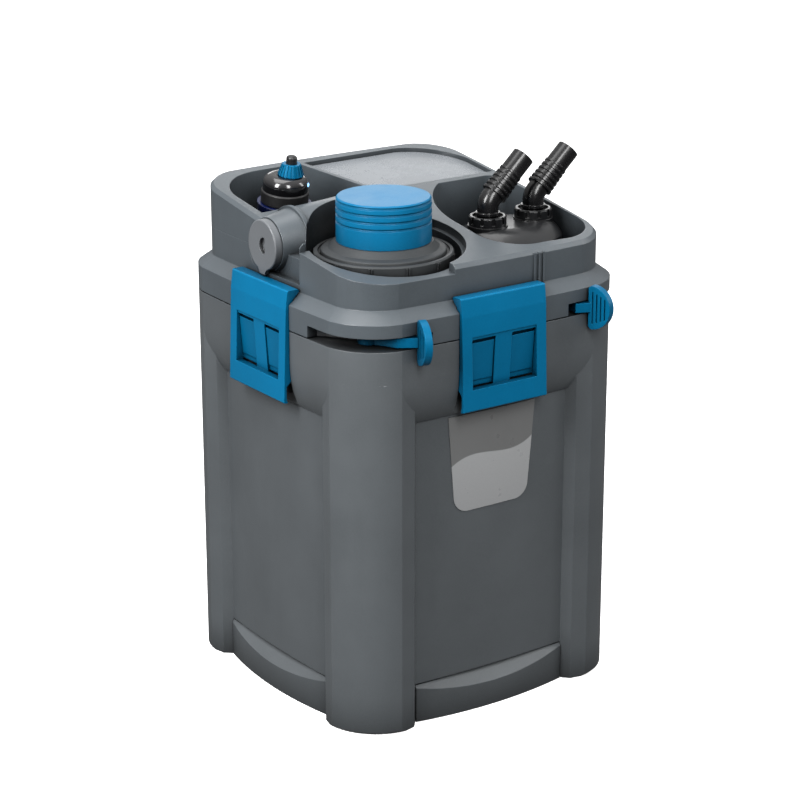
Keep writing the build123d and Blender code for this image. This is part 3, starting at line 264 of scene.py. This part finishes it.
# slot: colour, roughness, and what differs from plain moulded plastic
PLASTICS = {
    "shell_plastic": (GREY, 0.38, {"wear_and_highlight": 1.8}),
    "head_plastic": (GREY_HEAD, 0.34, {"wear_and_highlight": 2.0}),
    "lid_plastic": ((0.160, 0.172, 0.185), 0.26, {"grain_depth": 0.000004, "scuffs": 0.03, "painted_shade": 0.2}),
    "cap_plastic": ((0.105, 0.112, 0.120), 0.42, {"wear_and_highlight": 1.7}),
    "clip_plastic": (BLUE, 0.36, {"wear_and_highlight": 1.6, **BLUE_SHEEN}),
    "link_plastic": (lighter(BLUE, 0.85), 0.38, {"wear_and_highlight": 1.6, **BLUE_SHEEN}),
    "lever_plastic": (lighter(BLUE, 0.8), 0.36, {"wear_and_highlight": 1.6, **BLUE_SHEEN}),
    "prefilter_cap_plastic": (BLUE, 0.36, {"wear_and_highlight": 1.5, "specular": 0.33, "tint": (0.5, 0.62, 0.7)}),
    "lock_ring_plastic": (lighter(GREY, 0.42), 0.50, {"wear_and_highlight": 2.0, "specular": 0.3}),
    "cage_plastic": ((0.02, 0.021, 0.023), 0.45, {}),
    "tray_plastic": ((0.05, 0.053, 0.056), 0.45, {}),
    "heater_socket_plastic": ((0.003, 0.010, 0.075), 0.28, {"coat": 0.3}),
    "heater_band_plastic": (BLACK, 0.5, {}),
    "heater_dome_plastic": (BLACK, 0.16, {"grain_depth": GLOSSY_GRAIN, "coat": 0.5}),
    "thermostat_plastic": (lighter(BLUE, 1.05), 0.3, BLUE_SHEEN),
    "tip_plastic": (BLACK, 0.35, {}),
    "adapter_plastic": ((0.010, 0.0105, 0.0115), 0.30, {**GLOSSY_BLACK, "coat": 0.15}),
    "collar_plastic": ((0.008, 0.0085, 0.0095), 0.28, {**GLOSSY_BLACK, "coat": 0.2}),
    "elbow_plastic": (
        (0.003, 0.003, 0.0035),
        0.24,
        {"grain_depth": POLISHED_GRAIN, "wear_and_highlight": 1.15, "coat": 0.2, "specular": 0.4},
    ),
    "rubber": ((0.012, 0.012, 0.012), 0.75, {"grain_depth": 0.00005}),
    "gland_plastic": ((0.012, 0.012, 0.013), 0.45, {}),
    "ceramic_shaft": ((0.65, 0.65, 0.62), 0.3, {"grain_depth": 0.00001}),
    "impeller_plastic": ((0.01, 0.05, 0.2), 0.4, {}),
    "magnet": ((0.02, 0.02, 0.022), 0.55, {"grain_depth": 0.00006}),
    "coil_resin": ((0.01, 0.01, 0.01), 0.4, {}),
}
looks = {}
for slot_name, (slot_colour, slot_roughness, differences) in PLASTICS.items():
    looks[slot_name] = plastic(slot_name, slot_colour, slot_roughness, **differences)

# Height of the wave's edge as a cubic in x, highest power first, in metres.
WAVE_CUBIC = (241.27, 0.8681, -0.11835, 0.18306)
WAVE_EDGE = 0.0003
WAVE_FOOT_Z, WAVE_BRIGHT_Z = 0.147, 0.185
WAVE_FOOT_COLOUR = (0.17, 0.174, 0.178)
WAVE_COLOUR = (0.31, 0.315, 0.32)
FILM_COLOURS = ((0.130, 0.132, 0.132), (0.145, 0.147, 0.147))


def label_look(name):
    """Printed film, a little paler than the shell, with a pale wave across its lower part."""
    m = Material(name, 0.32)
    x, z = m.axis("X"), m.axis("Z")
    shore = WAVE_CUBIC[0]
    for coefficient in WAVE_CUBIC[1:]:
        shore = m.maths("MULTIPLY_ADD", x, shore, coefficient)
    above = m.maths("SUBTRACT", z, shore)
    water = m.ranged(above, WAVE_EDGE, -WAVE_EDGE)
    fade = m.ranged(z, WAVE_FOOT_Z, WAVE_BRIGHT_Z, 0.75, 1.0)
    grain = m.ranged(m.noise(0.0009, detail=2.0), *FINE_SPAN, 0.97, 1.03)
    pale = m.mixed(m.maths("MULTIPLY", fade, grain), WAVE_FOOT_COLOUR, WAVE_COLOUR)
    clouds = m.ranged(m.noise(0.05, detail=4.0), *WIDE_SPAN)
    film = m.mixed(clouds, *FILM_COLOURS)
    m.colour(m.mixed(water, film, pale))
    m.roughness(m.ranged(m.noise(0.012, detail=4.0), *WIDE_SPAN, 0.26, 0.38))
    m.bump(water, distance=0.00003)
    m.bump(m.noise(0.0006, detail=2.0), distance=0.00001)
    return m.done()


def steel_look(name):
    """Drawn steel: fine roughness grain and faint spotting."""
    m = Material(name, 0.3, metallic=1.0)
    edge_mask = m.edges(0.0003)
    spots = m.ranged(m.noise(0.002, detail=4.0), 0.35, 0.7)
    m.colour(m.mixed(spots, (0.52, 0.53, 0.54), (0.66, 0.66, 0.65)))
    drawn = m.ranged(m.noise(0.0008, detail=3.0), *WIDE_SPAN, 0.24, 0.4)
    m.roughness(m.maths("SUBTRACT", drawn, m.maths("MULTIPLY", edge_mask, 0.05)))
    m.bump(m.noise(0.0003, detail=2.0), distance=0.00001)
    return m.done()


def glass_look(name):
    """Heater glass with a faint tint and water marks."""
    m = Material(name, 0.05)
    m.shader.inputs["Transmission Weight"].default_value = 0.85
    m.shader.inputs["IOR"].default_value = 1.47
    marks = m.ranged(m.noise(0.006, detail=4.0), 0.45, 0.7)
    m.colour(m.mixed(marks, (0.78, 0.84, 0.85), (0.62, 0.68, 0.68)))
    m.roughness(m.ranged(m.noise(0.01, detail=3.0), *WIDE_SPAN, 0.03, 0.14))
    m.bump(m.noise(0.004, detail=2.0), distance=0.00002)
    return m.done()


PORE_SIZE = 0.0016
PORE_DEPTH = 0.0007
LUMP_DEPTH = 0.0006


def foam_look(name, colour):
    """Open-cell filter foam: pores painted dark as shade between paler struts."""
    m = Material(name, 0.9)
    m.shader.inputs["Sheen Weight"].default_value = 0.2
    pores = m.ranged(m.cells(PORE_SIZE), 0.1, 0.55)
    clouds = m.ranged(m.noise(0.02, detail=3.0), *WIDE_SPAN)
    base = m.mixed(clouds, lighter(colour, 0.8), lighter(colour, 1.15))
    # Painted shade: the pores take a much darker colour for the shade inside the foam's holes.
    m.colour(m.mixed(pores, lighter(colour, 0.25), base))
    m.bump(pores, PORE_DEPTH)
    m.bump(m.noise(0.004, detail=3.0), LUMP_DEPTH)
    return m.done()


looks["label_film"] = label_look("label_film")
looks["steel"] = steel_look("steel")
looks["heater_glass"] = glass_look("heater_glass")
looks["sponge"] = foam_look("sponge", (0.02, 0.10, 0.25))
looks["filter_foam"] = foam_look("filter_foam", (0.14, 0.145, 0.13))

for entry in frame["record"]["subparts"]:
    mesh = nodes[entry["node"]].data
    mesh.materials.clear()
    mesh.materials.append(looks[entry["material_slot"]])

# ---------------------------------------------------------------- foam pieces
FOAM_VOXEL = 0.0045
FOAM_SMOOTHING = 2
FOAM_RUFFLE = 0.0005
RUFFLES_PER_METRE = 90.0
FINE_RUFFLES_PER_METRE = 310.0


def foam_piece(node, body, slot_name):
    """A soft, slightly uneven foam block in the space of its CAD solid."""
    mesh = nodes[node].data.copy()
    piece = bpy.data.objects.new(node + "_soft", mesh)
    bpy.context.scene.collection.objects.link(piece)
    remesh = piece.modifiers.new("remesh", "REMESH")
    remesh.mode = "VOXEL"
    remesh.voxel_size = FOAM_VOXEL
    smooth = piece.modifiers.new("smooth", "SMOOTH")
    smooth.iterations = FOAM_SMOOTHING
    bpy.context.view_layer.update()
    soft = bpy.data.meshes.new_from_object(piece.evaluated_get(bpy.context.evaluated_depsgraph_get()))
    piece.modifiers.clear()
    piece.data = soft
    soft.name = piece.name
    ruffles = []
    for vertex in soft.vertices:
        coarse = noise.noise(vertex.co * RUFFLES_PER_METRE)
        fine = noise.noise(vertex.co * FINE_RUFFLES_PER_METRE)
        depth = FOAM_RUFFLE * (1.0 + coarse + 0.5 * fine)
        ruffles.append(vertex.co - vertex.normal * depth)
    for vertex, place in zip(soft.vertices, ruffles):
        vertex.co = place
    for polygon in soft.polygons:
        polygon.use_smooth = True
    soft.materials.clear()
    soft.materials.append(looks[slot_name])
    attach(piece, body)
    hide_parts(node)


foam_piece("prefilter_sponge", "prefilter_cartridge", "sponge")
for level in ("lower", "middle", "upper"):
    foam_piece("filter_foam_" + level, "canister", "filter_foam")

# ---------------------------------------------------------------- pilot light on the heater
LED_HEADING_DEG = -40.0
LED_RADIUS = 0.0016
LED_STRETCH = 1.7
LED_BULGE = 0.9
LED_DROP = 0.0015
LED_SINK = 0.0006
LED_RINGS = 5
LED_AROUND = 16


def pilot_light():
    """A small clear lens let into the side of the heater's dome, lit blue."""
    low, high = (Vector(corner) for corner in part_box("heater_dome"))
    middle = (low + high) / 2
    dome_radius = (high.x - low.x) / 2
    heading = math.radians(LED_HEADING_DEG)
    out = Vector((math.cos(heading), math.sin(heading), 0.0))
    place = Vector((middle.x, middle.y, middle.z - LED_DROP)) + out * (dome_radius - LED_SINK)
    mesh = bpy.data.meshes.new("heater_pilot_light")
    bm = bmesh.new()
    turn = out.to_track_quat("Z", "Y").to_matrix()
    rows = []
    for ring in range(LED_RINGS):
        angle = math.pi / 2 * ring / LED_RINGS
        radius = LED_RADIUS * math.cos(angle)
        height = LED_RADIUS * LED_BULGE * math.sin(angle)
        row = []
        for step in range(LED_AROUND):
            swing = 2 * math.pi * step / LED_AROUND
            point = Vector((LED_STRETCH * radius * math.cos(swing), radius * math.sin(swing), height))
            row.append(bm.verts.new(place + turn @ point))
        rows.append(row)
    tip = bm.verts.new(place + turn @ Vector((0, 0, LED_RADIUS * LED_BULGE)))
    for low_row, high_row in zip(rows, rows[1:]):
        for step in range(LED_AROUND):
            after = (step + 1) % LED_AROUND
            bm.faces.new((low_row[step], low_row[after], high_row[after], high_row[step]))
    for step in range(LED_AROUND):
        bm.faces.new((rows[-1][step], rows[-1][(step + 1) % LED_AROUND], tip))
    bm.faces.new(list(reversed(rows[0])))
    for face in bm.faces:
        face.smooth = True
    bm.normal_update()
    bm.to_mesh(mesh)
    bm.free()
    piece = bpy.data.objects.new("heater_pilot_light", mesh)
    bpy.context.scene.collection.objects.link(piece)
    m = Material("pilot_light", 0.08, coat=0.5)
    glow = m.ranged(m.noise(0.0012, detail=2.0), *WIDE_SPAN)
    m.colour(m.mixed(glow, (0.10, 0.35, 0.95), (0.35, 0.65, 1.0)))
    m.shader.inputs["Emission Color"].default_value = (0.25, 0.55, 1.0, 1.0)
    m.shader.inputs["Emission Strength"].default_value = 2.0
    m.bump(m.noise(0.0006, detail=2.0), distance=0.00002)
    mesh.materials.append(m.done())
    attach(piece, "canister")


pilot_light()

# ---------------------------------------------------------------- floor, light, camera


AIM = (0, 0, 0.3)
HIGH_AIM = (0, 0, 0.33)
# name: place, aim, size, power in watts
SOFTBOXES = {
    "overhead": ((-0.2, 0.3, 1.9), AIM, (1.4, 1.0), 17),
    "back_sheen": ((1.35, 1.95, 0.95), HIGH_AIM, (1.5, 0.5), 6),
    "left_strip": ((-1.1, -0.2, 0.95), AIM, (0.35, 0.9), 22),
    "front_strip": ((-0.35, -1.1, 1.0), AIM, (0.30, 0.8), 12),
    "right_strip": ((1.2, -0.6, 0.9), AIM, (0.30, 0.9), 6),
}
# Brightness of the surroundings, and the height of direction where each is reached.
HORIZON_LIGHT, ZENITH_LIGHT = 0.15, 0.98
HORIZON_HEIGHT, ZENITH_HEIGHT = 0.05, 0.85
FLOOR_COLOURS = ((0.93, 0.93, 0.93), (0.95, 0.95, 0.95))
FLOOR_GLOW = 0.6


def area_light(name, place, aim, size, power):
    """An oblong softbox at place, aimed at a point."""
    light = bpy.data.lights.new(name, "AREA")
    light.shape = "RECTANGLE"
    light.size, light.size_y = size
    light.energy = power
    lamp = bpy.data.objects.new(name, light)
    lamp.location = place
    lamp.visible_camera = False
    lamp.rotation_euler = (Vector(aim) - Vector(place)).to_track_quat("-Z", "Y").to_euler()
    bpy.context.scene.collection.objects.link(lamp)


def make_floor():
    """A wide pale floor."""
    mesh = bpy.data.meshes.new("floor")
    h = FLOOR_HALF
    mesh.from_pydata([(-h, -h, 0), (h, -h, 0), (h, h, 0), (-h, h, 0)], [], [(0, 1, 2, 3)])
    floor = bpy.data.objects.new("floor", mesh)
    bpy.context.scene.collection.objects.link(floor)
    m = Material("floor_paint", 0.7)
    m.colour(m.mixed(m.ranged(m.noise(0.4, detail=3.0), *WIDE_SPAN), *FLOOR_COLOURS))
    m.shader.inputs["Emission Color"].default_value = (1.0, 1.0, 1.0, 1.0)
    m.shader.inputs["Emission Strength"].default_value = FLOOR_GLOW
    mesh.materials.append(m.done())
    # The floor stays white without lighting the sides from below.
    floor.visible_diffuse = False
    floor.visible_glossy = False


def make_world():
    """Pale surroundings that brighten from the horizon up."""
    world = bpy.data.worlds.new("studio")
    bpy.context.scene.world = world
    world.use_nodes = True
    tree = world.node_tree
    background = tree.nodes["Background"]
    background.inputs["Color"].default_value = (1.0, 1.0, 1.0, 1.0)
    place = tree.nodes.new("ShaderNodeTexCoord")
    split = tree.nodes.new("ShaderNodeSeparateXYZ")
    spread = tree.nodes.new("ShaderNodeMapRange")
    spread.inputs["From Min"].default_value = HORIZON_HEIGHT
    spread.inputs["From Max"].default_value = ZENITH_HEIGHT
    spread.inputs["To Min"].default_value = HORIZON_LIGHT
    spread.inputs["To Max"].default_value = ZENITH_LIGHT
    tree.links.new(place.outputs["Generated"], split.inputs["Vector"])
    tree.links.new(split.outputs["Z"], spread.inputs["Value"])
    tree.links.new(spread.outputs["Result"], background.inputs["Strength"])


def make_camera():
    """The camera stands to the front left, a little above the part."""
    azimuth, pitch = math.radians(CAMERA_AZIMUTH_DEG), math.radians(CAMERA_PITCH_DEG)
    level = math.cos(pitch)
    back = Vector((math.sin(azimuth) * level, -math.cos(azimuth) * level, math.sin(pitch)))
    data = bpy.data.cameras.new("camera")
    data.lens = CAMERA_LENS
    data.sensor_width = CAMERA_SENSOR
    data.clip_end = CAMERA_CLIP_END
    camera = bpy.data.objects.new("camera", data)
    camera.location = CAMERA_TARGET + back * CAMERA_DISTANCE
    camera.rotation_mode = "QUATERNION"
    camera.rotation_quaternion = (-back).to_track_quat("-Z", "Y")
    bpy.context.scene.collection.objects.link(camera)
    bpy.context.scene.camera = camera


make_floor()
make_world()
for light_name, (place, aim, size, power) in SOFTBOXES.items():
    area_light(light_name, place, aim, size, power)
make_camera()
bpy.context.scene.view_settings.view_transform = "Standard"
